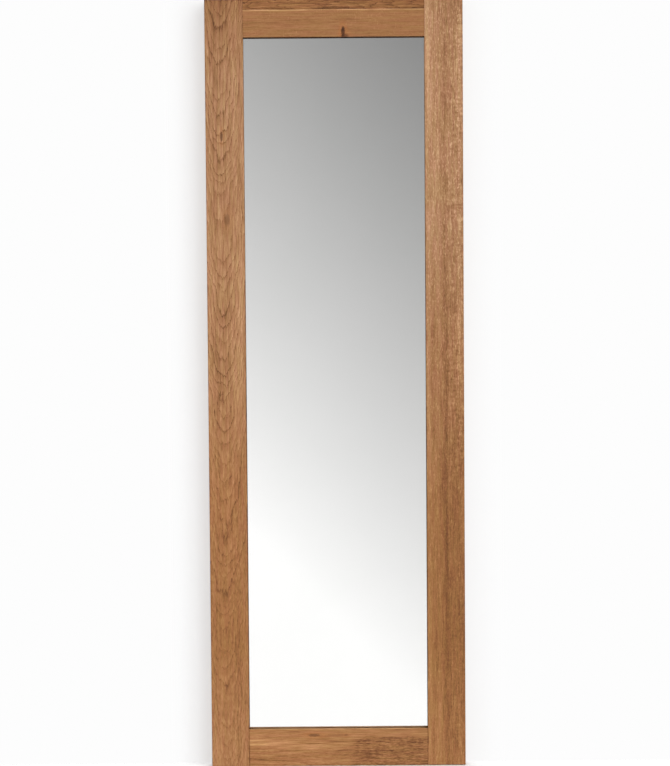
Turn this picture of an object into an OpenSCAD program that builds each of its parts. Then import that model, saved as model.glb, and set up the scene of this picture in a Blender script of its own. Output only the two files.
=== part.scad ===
// Full-length wall mirror: an oak frame of two stiles and two rails round a silvered glass pane.
// The front faces -Y and +Z is up. The origin is the middle of the frame's bottom edge,
// half way through the frame's thickness. Lengths are in millimetres.

/* [Frame] */
// Width over both stiles
frame_w = 600; // [480:10:800]
// Height over both rails
frame_h = 1800; // [1200:10:2000]
// Thickness of the oak
frame_t = 28; // [27:1:36]
// Width of each stile
stile_w = 89; // [80:1:110]
// Width of each rail
rail_w = 88; // [80:1:110]
// Width of the strip glued along the top rail's upper edge
cap_strip_w = 24; // [19:1:30]
// Thickness of the lip in front of the glass
lip_t = 11; // [9:0.5:12]

/* [Sanded edges] */
// Rounding of the outer front edges
outer_round = 2; // [1:0.5:4]
// Rounding of the front edges round the glass
sight_round = 1; // [0.5:0.25:2]
// Rounding of the outer back edges
back_round = 1.5; // [0.5:0.5:3]
// Rounding of the four outer corners, seen from the front
corner_round = 2; // [1:0.5:4]

/* [Rebates] */
// Width of the rebate that takes the glass
glass_rebate_w = 10; // [9:0.5:12]
// Width of the wider rebate behind it, which takes the back board
board_rebate_w = 22; // [20:1:26]

/* [Mortise and tenon joints] */
// Thickness of a tenon
tenon_t = 10; // [8:1:12]
// Width of a tenon, over its round ends
tenon_w = 48; // [36:1:50]
// Length of a tenon beyond the back shoulder
tenon_length = 36; // [24:1:42]
// Distance from the rail's outer edge to the tenon
tenon_margin = 15; // [11:1:16]
// Distance of the tenon behind the lip
tenon_setback = 0.5; // [0:0.25:1.5]
// Glue gap round a tenon
glue_gap = 0.1; // [0.05:0.05:0.2]
// Room at the bottom of a mortise
mortise_room = 2; // [1:0.5:3]

/* [Glass] */
// Thickness of the glass
glass_t = 4; // [3:1:5]
// How far the glass reaches behind the lip
glass_overlap = 8; // [7:0.25:8.5]
// Width of the seamed edge on each arris of the glass
glass_seam = 0.5; // [0.25:0.25:1]
// Thickness of the silvering with its paint
silvering_t = 0.1; // [0.1:0.05:0.2]
// Width of the bare band that the silvering leaves at the edge of the glass
silvering_inset = 1; // [0.5:0.5:3]
// Thickness of the safety film
film_t = 0.2; // [0.1:0.05:0.4]
// Thickness of the foam tape between lip and glass
tape_t = 1; // [0.5:0.25:1.5]
// Width of the foam tape
tape_w = 5; // [4:0.5:5.5]
// Distance of the foam tape from the sight edge
tape_inset = 1.5; // [1:0.25:2]
// Length of a setting block under the glass
setting_block_l = 60; // [40:5:100]
// Length of a side block beside the glass
side_block_l = 40; // [30:5:60]
// Depth of the blocks, front to back
block_d = 6; // [4:0.5:6.5]

/* [Back board] */
// Thickness of the foam sheet behind the glass
foam_t = 2.7; // [2:0.1:3.5]
// Thickness of the back board
board_t = 4; // [3:0.5:5]
// Gap all round the back board
board_gap = 1; // [0.5:0.25:2]
// Screws along each long side of the board
side_screws = 7; // [5:1:9]
// Screws along each short side of the board
end_screws = 3; // [2:1:4]
// Distance from the board's corner to the first screw of a row
screw_row_inset = 80; // [50:5:100]

/* [Pan head screws] */
// Shank diameter
pan_d = 3; // [2.5:0.5:3.5]
// Length under the head
pan_l = 16; // [12:1:18]
// Head diameter
pan_head_d = 7; // [6:0.5:8]
// Head height
pan_head_h = 2.4; // [2:0.2:2.8]

/* [Hangers] */
// Distance of a hanger's pivot below the top of the frame
hanger_drop = 300; // [200:10:450]
// Width of the steel strap
strap_w = 16; // [14:1:20]
// Thickness of the strip that the strap is folded from
strap_t = 1; // [0.8:0.1:1.2]
// Length of the strap below the pivot
strap_l = 60; // [56:1:72]
// Distance from the pivot to the first screw hole
first_hole = 12; // [10:0.5:12.5]
// Distance between the screw holes
hole_pitch = 19; // [16:1:20]
// Screw holes in a strap
strap_holes = 3; // [2:1:3]
// Wire diameter of the ring
wire_d = 3.5; // [3:0.25:4]
// Gap between each leg of the ring and the strap
leg_gap = 2; // [1.5:0.5:3]
// Bend radius at the ring's two square corners, to the middle of the wire
ring_bend = 3; // [2.5:0.5:4]
// Straight length of the ring's legs
leg_l = 4; // [2:0.5:6]
// Running gap round the wire in the eye of the strap
eye_gap = 0.1; // [0.05:0.01:0.1]
// Gap between the hanging ring and the strap behind it
ring_rest_gap = 0.3; // [0.2:0.1:0.5]

/* [Countersunk screws] */
// Shank diameter
csk_d = 4; // [3.5:0.5:4.5]
// Overall length
csk_l = 22; // [18:1:24]
// Head diameter
csk_head_d = 8; // [7.5:0.25:8.5]
// Head height
csk_head_h = 1.9; // [1.5:0.1:2]

/* [Wall bumpers] */
// Diameter of a bumper where it meets the frame
bumper_d = 20; // [16:1:26]
// Diameter of a bumper where it meets the wall
bumper_wall_d = 17; // [14:1:19]
// Height of a bumper, which sets the gap to the wall
bumper_h = 6; // [5.8:0.2:8]
// Height of a bumper's centre above the bottom of the frame, clear of the tenon
bumper_rise = 80; // [76:2:150]
// Depth of the recess that hides the screw head
bumper_recess = 3.4; // [2.9:0.1:4]

/* [Hidden] */
$fn = 48;
// Gap round a screw in its hole
screw_gap = 0.05;
// Room in front of a screw's point
pilot_room = 1;
// How far a cutting shape runs past what it cuts
over = 1;
// Gap round a screw head in the recess that holds it
head_gap = 0.5;

front_y = -frame_t / 2;
back_y = frame_t / 2;
lip_y = front_y + lip_t;
glass_y = lip_y + tape_t;
silvering_y = glass_y + glass_t;
film_y = silvering_y + silvering_t;
foam_y = film_y + film_t;
ledge_y = foam_y + foam_t;
board_back_y = ledge_y + board_t;

sight_x = frame_w / 2 - stile_w;
sight_h = frame_h - 2 * rail_w;
mid_z = frame_h / 2;
glass_w = 2 * (sight_x + glass_overlap);
glass_h = sight_h + 2 * glass_overlap;
block_t = glass_rebate_w - glass_overlap;
board_w = 2 * (sight_x + board_rebate_w - board_gap);
board_h = sight_h + 2 * (board_rebate_w - board_gap);

// The screw rows run along the middle of the ledge between the two rebates
ledge_mid = (glass_rebate_w + board_rebate_w) / 2;
side_row_l = board_h - 2 * screw_row_inset;
end_row_l = board_w - 2 * screw_row_inset;

tenon_y = lip_y + tenon_setback + tenon_t / 2;
tenon_z = tenon_margin + tenon_w / 2;
tenon_end_x = sight_x + board_rebate_w + tenon_length;

hanger_x = frame_w / 2 - (stile_w - board_rebate_w) / 2;
hanger_z = frame_h - hanger_drop;
eye_r = wire_d / 2 + eye_gap;
eye_outer_r = eye_r + strap_t;
pivot_y = back_y + eye_outer_r;
bow_r = strap_w / 2 + leg_gap + wire_d / 2;
ring_reach = ring_bend + leg_l + bow_r;
// The hanging ring leans out just enough to clear the strap behind it
ring_lean = asin((2 * strap_t + wire_d / 2 + ring_rest_gap - eye_outer_r) / ring_reach);

oak = [0.67, 0.47, 0.32];
pale_oak = [0.70, 0.50, 0.34];
dark_oak = [0.57, 0.39, 0.25];
zinc = [0.72, 0.73, 0.74];

// Edges

// Waste outside a rounded corner at the origin, for a body that lies towards +X and +Y
module corner_waste(r) {
    difference() {
        translate([-over, -over]) square(r + over);
        translate([r, r]) circle(r);
    }
}

// Waste along a rounded edge through the origin and along Z
module edge_waste(length, r) {
    linear_extrude(length, center = true) corner_waste(r);
}

// What sanding takes from the four outer edges of the front or of the back
module outline_waste(r) {
    for (side = [0, 1]) {
        mirror([side, 0, 0]) translate([-frame_w / 2, 0, mid_z])
            edge_waste(frame_h + 2 * over, r);
        translate([0, 0, mid_z]) mirror([0, 0, side]) translate([0, 0, -mid_z])
            rotate([0, -90, 0]) edge_waste(frame_w + 2 * over, r);
    }
}

// What sanding takes from the four outer corners
module corners_waste() {
    for (side = [0, 1], end = [0, 1])
        mirror([side, 0, 0]) translate([0, 0, mid_z]) mirror([0, 0, end])
            translate([-frame_w / 2, 0, -mid_z])
                rotate([90, 0, 0]) edge_waste(frame_t + 2 * over, corner_round);
}

// What sanding takes from the front edges round the glass
module sight_waste() {
    for (side = [0, 1]) {
        mirror([side, 0, 0]) translate([sight_x, front_y, mid_z])
            edge_waste(sight_h, sight_round);
        translate([0, front_y, mid_z]) mirror([0, 0, side]) translate([0, 0, sight_h / 2])
            rotate([0, -90, 0]) edge_waste(2 * sight_x, sight_round);
    }
}

module sanded() {
    difference() {
        children();
        translate([0, front_y, 0]) outline_waste(outer_round);
        translate([0, back_y, 0]) mirror([0, 1, 0]) outline_waste(back_round);
        corners_waste();
        sight_waste();
    }
}

// Screws

// Cross recess in a screw head whose top is at z
module cross_recess(z, size) {
    arm_w = size * 0.22;
    depth = size * 0.3;
    for (turn = [0, 90])
        rotate(turn) translate([-size / 2, -arm_w / 2, z - depth]) cube([size, arm_w, depth + over]);
}

// Shank with its point, from z = 0 down
module shank(d, length) {
    tip = d;
    translate([0, 0, tip - length]) cylinder(h = length - tip, d = d);
    translate([0, 0, -length]) cylinder(h = tip, d1 = d / 8, d2 = d);
}

// Pan head screw: the head's underside is at z = 0
module pan_screw() {
    dome_r = pan_head_d * 0.75;
    difference() {
        union() {
            shank(pan_d, pan_l);
            intersection() {
                cylinder(h = pan_head_h, d = pan_head_d);
                translate([0, 0, pan_head_h - dome_r]) sphere(dome_r);
            }
        }
        cross_recess(pan_head_h, pan_head_d * 0.55);
    }
}

// Countersunk screw: the head's top is at z = 0
module countersunk_screw() {
    difference() {
        union() {
            shank(csk_d, csk_l);
            translate([0, 0, -csk_head_h]) cylinder(h = csk_head_h, d1 = csk_d, d2 = csk_head_d);
        }
        cross_recess(0, csk_head_d * 0.5);
    }
}

// Hole for a screw that goes down from z = 0
module pilot(d, length) {
    translate([0, 0, -length - pilot_room]) cylinder(h = length + pilot_room + over, d = d + 2 * screw_gap);
}

// Frame

// Section that every member is planed to: the sight edge is at x = 0 and the outer edge at x = w
module member_section(w) {
    difference() {
        translate([0, front_y]) square([w, frame_t]);
        translate([-over, lip_y]) square([glass_rebate_w + over, frame_t]);
        translate([-over, ledge_y]) square([board_rebate_w + over, frame_t]);
    }
}

module stile_stock() {
    translate([sight_x, 0, 0]) linear_extrude(frame_h) member_section(stile_w);
}

module rail_stock() {
    translate([0, 0, rail_w]) mirror([0, 0, 1]) rotate([0, -90, 0])
        linear_extrude(2 * (sight_x + board_rebate_w), center = true) member_section(rail_w);
}

// Bar with round edges that runs through the whole rail and ends as its two tenons
module tenon_bar(reach, gap) {
    translate([0, tenon_y, tenon_z]) rotate([0, 90, 0]) linear_extrude(2 * reach, center = true) {
        square([tenon_w - tenon_t, tenon_t + 2 * gap], center = true);
        for (side = [-1, 1]) translate([side * (tenon_w - tenon_t) / 2, 0]) circle(tenon_t / 2 + gap);
    }
}

// Places its children at each back board screw, with +Z out of the back
module at_board_screws() {
    for (i = [0 : side_screws - 1], side = [-1, 1])
        translate([side * (sight_x + ledge_mid), board_back_y,
                mid_z - side_row_l / 2 + i * side_row_l / (side_screws - 1)])
            rotate([-90, 0, 0]) children();
    for (i = [0 : end_screws - 1], end = [-1, 1])
        translate([-end_row_l / 2 + i * end_row_l / (end_screws - 1), board_back_y,
                mid_z + end * (sight_h / 2 + ledge_mid)])
            rotate([-90, 0, 0]) children();
}

module stile() {
    sanded() difference() {
        stile_stock();
        for (end = [0, 1])
            translate([0, 0, mid_z]) mirror([0, 0, end]) translate([0, 0, -mid_z])
                tenon_bar(tenon_end_x + mortise_room, glue_gap);
        at_board_screws() pilot(pan_d, pan_l);
        at_hanger_holes() pilot(csk_d, csk_l);
        at_bumper() pilot(pan_d, pan_l - bumper_h + bumper_recess);
    }
}

module right_stile() {
    color(oak) stile();
}

module left_stile() {
    color(oak) mirror([1, 0, 0]) stile();
}

// The rail's ends are scribed over the rebated stiles, so the back shoulders reach further out
module rail() {
    sanded() difference() {
        union() {
            difference() {
                rail_stock();
                for (side = [0, 1]) mirror([side, 0, 0]) stile_stock();
            }
            tenon_bar(tenon_end_x, 0);
        }
        at_board_screws() pilot(pan_d, pan_l);
    }
}

module bottom_rail() {
    color(pale_oak) rail();
}

// The top rail is glued up from two strips before its tenons are cut
module top_rail_blank() {
    translate([0, 0, mid_z]) mirror([0, 0, 1]) translate([0, 0, -mid_z]) rail();
}

module above_glue_line() {
    translate([-frame_w, -frame_t, frame_h - cap_strip_w]) cube([2 * frame_w, 2 * frame_t, rail_w]);
}

module top_rail() {
    color(oak) difference() {
        top_rail_blank();
        above_glue_line();
    }
}

module top_rail_cap_strip() {
    color(dark_oak) intersection() {
        top_rail_blank();
        above_glue_line();
    }
}

// Glass and what lies round it

// Section of a plate with seamed edges: w across and t thick, its front at y = 0
module seamed_section(w, t, seam) {
    polygon([[-w / 2 + seam, 0], [w / 2 - seam, 0], [w / 2, seam], [w / 2, t - seam],
        [w / 2 - seam, t], [-w / 2 + seam, t], [-w / 2, t - seam], [-w / 2, seam]]);
}

module glass_pane() {
    color([0.80, 0.86, 0.84]) translate([0, glass_y, mid_z]) intersection() {
        linear_extrude(glass_h + over, center = true) seamed_section(glass_w, glass_t, glass_seam);
        rotate([0, 90, 0]) linear_extrude(glass_w + over, center = true)
            seamed_section(glass_h, glass_t, glass_seam);
    }
}

// Sheet t thick behind the glass, smaller than it all round by inset
module sheet(y, t, inset) {
    translate([-glass_w / 2 + inset, y, mid_z - glass_h / 2 + inset])
        cube([glass_w - 2 * inset, t, glass_h - 2 * inset]);
}

module silvering() {
    color([0.90, 0.91, 0.92]) sheet(silvering_y, silvering_t, silvering_inset);
}

module safety_film() {
    color([0.35, 0.42, 0.50]) sheet(film_y, film_t, silvering_inset);
}

module foam_sheet() {
    color([0.93, 0.93, 0.92]) sheet(foam_y, foam_t, silvering_inset);
}

module tape_strip(x0, z0, w, h) {
    color([0.10, 0.10, 0.10]) translate([x0, lip_y, z0]) cube([w, tape_t, h]);
}

module right_glazing_tape() {
    tape_strip(sight_x + tape_inset, mid_z - glass_h / 2, tape_w, glass_h);
}

module left_glazing_tape() {
    mirror([1, 0, 0]) right_glazing_tape();
}

module top_glazing_tape() {
    tape_strip(-sight_x - tape_inset, mid_z + sight_h / 2 + tape_inset, 2 * (sight_x + tape_inset), tape_w);
}

module bottom_glazing_tape() {
    translate([0, 0, mid_z]) mirror([0, 0, 1]) translate([0, 0, -mid_z]) top_glazing_tape();
}

// The glass stands on two blocks at a quarter and three quarters of its width
module setting_blocks() {
    color([0.13, 0.13, 0.14])
        for (side = [-1, 1])
            translate([side * glass_w / 4 - setting_block_l / 2, glass_y, mid_z - glass_h / 2 - block_t])
                cube([setting_block_l, block_d, block_t]);
}

// Two blocks on each side keep the glass in the middle of its rebate
module side_blocks() {
    color([0.13, 0.13, 0.14])
        for (side = [0, 1], end = [-1, 1])
            mirror([side, 0, 0])
                translate([glass_w / 2, glass_y, mid_z + end * glass_h / 3 - side_block_l / 2])
                    cube([block_t, block_d, side_block_l]);
}

module back_board() {
    color([0.55, 0.42, 0.30]) difference() {
        translate([-board_w / 2, ledge_y, mid_z - board_h / 2]) cube([board_w, board_t, board_h]);
        at_board_screws() pilot(pan_d + head_gap, pan_l);
    }
}

module back_board_screws() {
    color(zinc) at_board_screws() pan_screw();
}

// Hangers

// Places its children at each screw hole of the right strap, with +Z out of the strap's face
module at_hanger_holes() {
    for (i = [0 : strap_holes - 1])
        translate([hanger_x, back_y + 2 * strap_t, hanger_z - first_hole - i * hole_pitch])
            rotate([-90, 0, 0]) children();
}

// Section of the folded strip: it lies double on the frame and opens into an eye round the pivot
module strap_section() {
    difference() {
        union() {
            translate([-eye_outer_r, 0]) circle(eye_outer_r);
            translate([-2 * strap_t, -strap_l]) square([2 * strap_t, strap_l - eye_outer_r / 2]);
            translate([-strap_t, -strap_l]) square([strap_t, strap_l]);
        }
        translate([-eye_outer_r, 0]) circle(eye_r);
    }
}

// Outline of the strap from behind, round at its lower end
module strap_outline() {
    translate([-strap_w / 2, strap_w / 2 - strap_l]) square([strap_w, strap_l]);
    translate([0, strap_w / 2 - strap_l]) circle(strap_w / 2);
}

module hanger_strap() {
    color(zinc) difference() {
        intersection() {
            translate([hanger_x, back_y, hanger_z]) rotate([0, 0, 90]) rotate([90, 0, 0])
                mirror([1, 0, 0]) linear_extrude(strap_w, center = true) strap_section();
            translate([hanger_x, back_y, hanger_z]) rotate([90, 0, 0])
                linear_extrude(4 * eye_outer_r, center = true) strap_outline();
        }
        at_hanger_holes() {
            pilot(csk_d, csk_l);
            translate([0, 0, -csk_head_h])
                cylinder(h = csk_head_h, d1 = csk_d + 2 * screw_gap, d2 = csk_head_d + 2 * screw_gap);
            cylinder(h = over, d = csk_head_d + 2 * screw_gap);
        }
    }
}

// Ring in its own plane: the bar lies on the X axis and the bow hangs towards -Z
module d_ring() {
    bar_end = bow_r - ring_bend;
    rotate([0, 90, 0]) cylinder(h = 2 * bar_end, d = wire_d, center = true);
    for (side = [0, 1]) mirror([side, 0, 0]) {
        translate([bar_end, 0, -ring_bend]) rotate([90, 0, 0])
            rotate_extrude(angle = 90) translate([ring_bend, 0]) circle(d = wire_d);
        translate([bow_r, 0, -ring_bend - leg_l]) cylinder(h = leg_l, d = wire_d);
    }
    translate([0, 0, -ring_bend - leg_l]) rotate([90, 0, 0]) rotate([0, 0, 180])
        rotate_extrude(angle = 180) translate([bow_r, 0]) circle(d = wire_d);
}

module hanger_ring() {
    color(zinc) translate([hanger_x, pivot_y, hanger_z]) rotate([ring_lean, 0, 0]) d_ring();
}

module hanger_screws() {
    color(zinc) at_hanger_holes() countersunk_screw();
}

module right_hanger_strap() {
    hanger_strap();
}

module left_hanger_strap() {
    mirror([1, 0, 0]) hanger_strap();
}

module right_hanger_ring() {
    hanger_ring();
}

module left_hanger_ring() {
    mirror([1, 0, 0]) hanger_ring();
}

module right_hanger_screws() {
    hanger_screws();
}

module left_hanger_screws() {
    mirror([1, 0, 0]) hanger_screws();
}

// Wall bumpers

module at_bumper() {
    translate([hanger_x, back_y, bumper_rise]) rotate([-90, 0, 0]) children();
}

module wall_bumper() {
    color([0.16, 0.16, 0.17]) at_bumper() difference() {
        cylinder(h = bumper_h, d1 = bumper_d, d2 = bumper_wall_d);
        translate([0, 0, bumper_h]) pilot(pan_d + head_gap, pan_l);
        translate([0, 0, bumper_h - bumper_recess])
            cylinder(h = bumper_recess + over, d = pan_head_d + 2 * head_gap);
    }
}

module right_wall_bumper() {
    wall_bumper();
}

module left_wall_bumper() {
    mirror([1, 0, 0]) wall_bumper();
}

module bumper_screws() {
    color(zinc)
        for (side = [0, 1])
            mirror([side, 0, 0]) at_bumper() translate([0, 0, bumper_h - bumper_recess]) pan_screw();
}

left_stile();
right_stile();
top_rail();
top_rail_cap_strip();
bottom_rail();
glass_pane();
silvering();
safety_film();
foam_sheet();
left_glazing_tape();
right_glazing_tape();
top_glazing_tape();
bottom_glazing_tape();
setting_blocks();
side_blocks();
back_board();
back_board_screws();
left_hanger_strap();
right_hanger_strap();
left_hanger_ring();
right_hanger_ring();
left_hanger_screws();
right_hanger_screws();
left_wall_bumper();
right_wall_bumper();
bumper_screws();
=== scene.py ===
import math

import bmesh
import bpy
from mathutils import Matrix, Vector


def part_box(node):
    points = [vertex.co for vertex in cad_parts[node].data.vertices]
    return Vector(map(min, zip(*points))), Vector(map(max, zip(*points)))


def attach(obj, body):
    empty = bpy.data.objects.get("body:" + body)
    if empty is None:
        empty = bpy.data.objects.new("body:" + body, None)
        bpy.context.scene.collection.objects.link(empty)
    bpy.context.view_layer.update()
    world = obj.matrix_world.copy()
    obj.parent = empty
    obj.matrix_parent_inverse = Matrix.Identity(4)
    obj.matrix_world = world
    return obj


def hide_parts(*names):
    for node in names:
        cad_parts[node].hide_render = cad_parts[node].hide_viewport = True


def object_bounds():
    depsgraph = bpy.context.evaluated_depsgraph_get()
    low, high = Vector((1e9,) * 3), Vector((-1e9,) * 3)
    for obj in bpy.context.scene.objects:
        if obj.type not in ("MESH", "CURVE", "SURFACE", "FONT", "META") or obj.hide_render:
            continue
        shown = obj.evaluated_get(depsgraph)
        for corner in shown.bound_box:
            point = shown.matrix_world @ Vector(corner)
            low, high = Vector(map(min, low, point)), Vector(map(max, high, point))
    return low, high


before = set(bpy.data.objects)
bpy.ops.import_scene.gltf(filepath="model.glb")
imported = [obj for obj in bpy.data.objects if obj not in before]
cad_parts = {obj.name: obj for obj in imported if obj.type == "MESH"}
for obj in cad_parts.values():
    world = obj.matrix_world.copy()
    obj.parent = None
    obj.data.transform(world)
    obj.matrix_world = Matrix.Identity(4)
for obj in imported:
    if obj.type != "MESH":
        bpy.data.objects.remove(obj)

cad_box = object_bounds()


# The studio
# A long lens looks straight at the mirror from 4.5 m away, in a pale room with one large soft light
# high on the right. Camera rays see the room as plain white. Glass and metal see it as a soft grey
# that pales towards the floor and to the left.

class Wire:
    """A value on its way through a node tree. Arithmetic on wires adds Math nodes to the tree."""

    def __init__(self, tree, socket=None):
        self.tree = tree
        self.socket = socket

    def node(self, kind, inputs=(), out=0, stops=(), **settings):
        """Adds a node, sets it up, feeds its sockets and returns one of its outputs."""
        made = self.tree.nodes.new(kind)
        for name, value in settings.items():
            setattr(made, name, value)
        for number, (position, colour) in enumerate(stops):
            ramp = made.color_ramp.elements
            stop = ramp[number] if number < 2 else ramp.new(position)
            stop.position = position
            stop.color = colour
        for key, value in (inputs.items() if isinstance(inputs, dict) else enumerate(inputs)):
            self.feed(made.inputs[key], value)
        return Wire(self.tree, made.outputs[out])

    def feed(self, socket, value):
        if isinstance(value, Wire):
            self.tree.links.new(value.socket, socket)
        else:
            socket.default_value = value

    def math(self, operation, *values):
        return self.node("ShaderNodeMath", values, operation=operation)

    def __add__(self, other):
        return self.math("ADD", self, other)

    def __sub__(self, other):
        return self.math("SUBTRACT", self, other)

    def __mul__(self, other):
        return self.math("MULTIPLY", self, other)

    def __truediv__(self, other):
        return self.math("DIVIDE", self, other)

    def __pow__(self, other):
        return self.math("POWER", self, other)

    def __rsub__(self, other):
        return self.math("SUBTRACT", other, self)

    __radd__ = __add__
    __rmul__ = __mul__

    def size(self):
        return self.math("ABSOLUTE", self)

    def at_least(self, floor):
        return self.math("MAXIMUM", self, floor)

    def at_most(self, ceiling):
        return self.math("MINIMUM", self, ceiling)

    def ramp(self, start, end, low=0.0, high=1.0):
        """Turns smoothly from low, where this wire is at start, to high, where it is at end."""
        return self.node("ShaderNodeMapRange", [self, start, end, low, high],
                         interpolation_type="SMOOTHSTEP")

    def split(self):
        parts = self.tree.nodes.new("ShaderNodeSeparateXYZ")
        self.tree.links.new(self.socket, parts.inputs[0])
        return [Wire(self.tree, output) for output in parts.outputs]

    def join(self, x, y, z):
        return self.node("ShaderNodeCombineXYZ", [x, y, z])

    def blend(self, share, first, second, kind="MIX"):
        """Mixes two colours, with the second one's share from 0 to 1."""
        return self.node("ShaderNodeMix", {0: share, 6: first, 7: second}, out=2,
                         data_type="RGBA", blend_type=kind)


def linear(shown):
    """What the renderer calls a level that a screen shows as 0 to 1: a number, or a wire."""
    return ((shown + 0.055) / 1.055) ** 2.4


def paint(red, green, blue):
    """A colour in a screen's levels, 0 to 255."""
    return tuple(linear(level / 255) for level in (red, green, blue)) + (1.0,)


scene = bpy.context.scene
scene.view_settings.view_transform = "Standard"

CAMERA_AT = Vector((0.0, -4.5, 1.130))
CAMERA_TURN = math.radians(0.034)
CAMERA_DIP = math.radians(-2.846)
CAMERA_TILT = math.radians(0.43)
CAMERA_LENS = 90.09
CAMERA_SENSOR = 36.0
LEVEL_LENS = math.radians(90)
camera = bpy.data.objects.new("camera", bpy.data.cameras.new("camera"))
camera.data.sensor_width = CAMERA_SENSOR
camera.data.lens = CAMERA_LENS
camera.matrix_world = (Matrix.Translation(CAMERA_AT) @ Matrix.Rotation(CAMERA_TURN, 4, "Z")
                       @ Matrix.Rotation(CAMERA_DIP, 4, "X") @ Matrix.Rotation(CAMERA_TILT, 4, "Y")
                       @ Matrix.Rotation(LEVEL_LENS, 4, "X"))
scene.collection.objects.link(camera)
scene.camera = camera

LIGHT_BELOW = 0.53
LIGHT_ABOVE = 1.06
LIGHT_TURNS = (-0.6, 0.6)
KEY_LIGHT = 1.95
KEY_LIGHT_FROM = Vector((0.66, -0.52, 0.54)).normalized()
BACK_LIGHT = 0.80
BACK_LIGHT_FROM = Vector((-0.45, 0.75, 0.48)).normalized()
SOFT_EDGE = (0.72, 0.98)
ROOM_GREY = 198.2 / 255
ROOM_PALES_DOWN = 333.0 / 255
ROOM_PALES_LEFT = 46.5 / 255
ROOM_TURNS = 7.4
ROOM_DARKEST = 0.52
LOST_IN_GLASS = 1.08
SEEN_WHITE = paint(253, 253, 253)[0]
world = bpy.data.worlds.new("studio")
world.use_nodes = True
scene.world = world
room = Wire(world.node_tree)
way_x, way_y, way_z = room.node("ShaderNodeTexCoord", out="Generated").split()
lighting = way_z.ramp(*LIGHT_TURNS, LIGHT_BELOW, LIGHT_ABOVE)
for strength, place in ((KEY_LIGHT, KEY_LIGHT_FROM), (BACK_LIGHT, BACK_LIGHT_FROM)):
    towards = way_x * place.x + way_y * place.y + way_z * place.z
    lighting = lighting + towards.ramp(*SOFT_EDGE) * strength
to_the_right = room.math("TANH", way_x * ROOM_TURNS)
reflected = ROOM_GREY - way_z * ROOM_PALES_DOWN - to_the_right * ROOM_PALES_LEFT
reflected = linear(reflected.at_least(ROOM_DARKEST).at_most(1.0)) * LOST_IN_GLASS
glossy = room.node("ShaderNodeLightPath", out="Is Glossy Ray")
through = room.node("ShaderNodeLightPath", out="Is Transmission Ray")
seen = room.node("ShaderNodeLightPath", out="Is Camera Ray")
level = lighting + glossy.math("MAXIMUM", glossy, through) * (reflected - lighting)
level = level + seen * (SEEN_WHITE - level)
room.feed(world.node_tree.nodes["Background"].inputs["Color"], level)


def new_object(name, mesh):
    made = bpy.data.objects.new(name, mesh)
    scene.collection.objects.link(made)
    return made


SHADOW_CORE = 0.035
SIDES_MEET = 0.1


def stage_plane(name, corners, albedo, shadow, fade, is_wall):
    """A plane of matt paint round the mirror. albedo is the light it returns at the foot, and how
    that changes upwards. shadow is how much of the mirror's shadow shows close to it, further off
    and on its right, and fade is where the paint thins out to plain white."""
    mat = bpy.data.materials.new(name)
    mat.use_nodes = True
    wire = Wire(mat.node_tree)
    x, y, z = wire.node("ShaderNodeTexCoord", out="Object").split()
    beside = (x.size() - cad_box[1][0]).at_least(0.0)
    above = (z - cad_box[1][2]).at_least(0.0)
    away = (beside * beside + above * above + y * y) ** 0.5
    share = away.ramp(0.0, SHADOW_CORE, *shadow[:2]) * away.ramp(*fade, 1.0, 0.0)
    share = share * x.ramp(-SIDES_MEET, SIDES_MEET, 1.0, shadow[2])
    # The paint grows paler upwards: painted shade at the foot that evens out the light the floor
    # throws onto the wall
    returned = albedo[0] + z * (albedo[1] - z * albedo[2])
    camera_ray = wire.node("ShaderNodeLightPath", out="Is Camera Ray")
    behind = wire.node("ShaderNodeNewGeometry", out="Backfacing")
    matt = wire.node("ShaderNodeBsdfDiffuse", {"Color": returned}, out="BSDF")
    clear = wire.node("ShaderNodeBsdfTransparent", out="BSDF")
    white = wire.node("ShaderNodeEmission", {"Strength": SEEN_WHITE}, out="Emission")
    shows = camera_ray * (1.0 - behind) if is_wall else 1.0 - camera_ray * behind
    painted = wire.node("ShaderNodeMixShader", [share, white if is_wall else clear, matt])
    wire.feed(mat.node_tree.nodes["Material Output"].inputs["Surface"],
              wire.node("ShaderNodeMixShader", [shows, clear, painted]))
    mat.node_tree.nodes.remove(mat.node_tree.nodes["Principled BSDF"])
    mesh = bpy.data.meshes.new(name)
    mesh.from_pydata(corners, [], [range(len(corners))])
    mesh.materials.append(mat)
    made = new_object(name, mesh)
    return made


STAGE_GAP = 0.0005
WALL_HALF = 3
WALL_TOP = 4
FLOOR_HALF = 5
wall_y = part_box("left_wall_bumper")[1].y + STAGE_GAP
floor_z = -STAGE_GAP
wall_corners = [(-WALL_HALF, wall_y, 0), (WALL_HALF, wall_y, 0),
                (WALL_HALF, wall_y, WALL_TOP), (-WALL_HALF, wall_y, WALL_TOP)]
floor_corners = [(-FLOOR_HALF, -FLOOR_HALF, floor_z), (FLOOR_HALF, -FLOOR_HALF, floor_z),
                 (FLOOR_HALF, FLOOR_HALF, floor_z), (-FLOOR_HALF, FLOOR_HALF, floor_z)]
stage_plane("wall", wall_corners, albedo=(0.752, 0.137, 0.037), shadow=(0.31, 0.66, 0.45),
            fade=(0.045, 0.095), is_wall=True)
floor = stage_plane("floor", floor_corners, albedo=(0.76, 0.0, 0.0), shadow=(1.0, 1.0, 1.0),
                    fade=(0.6, 2.0), is_wall=False)
floor.visible_glossy = False
floor.visible_transmission = False


# The left stile
# A full-height oak board, 89 mm wide and 28 mm thick, planed, sanded and oiled. It was sawn across
# the rings, so its face shows arches one above another, with their tips towards the foot.

MILLIMETRES = 1000.0
HALF_THICKNESS = 14.0
OAK_TONES = [(0.00, paint(80, 45, 21)), (0.22, paint(118, 76, 43)), (0.50, paint(158, 112, 74)),
             (0.76, paint(181, 137, 98)), (1.00, paint(206, 164, 125))]
OAK_BROWN = paint(104, 66, 38)
OLIVE_CAST = (0.985, 1.018, 0.955, 1.0)
RED_CAST = (1.025, 0.968, 1.035, 1.0)
PLAIN_WOOD = 0.58
SHORT_WAVES = 0.64

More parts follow.
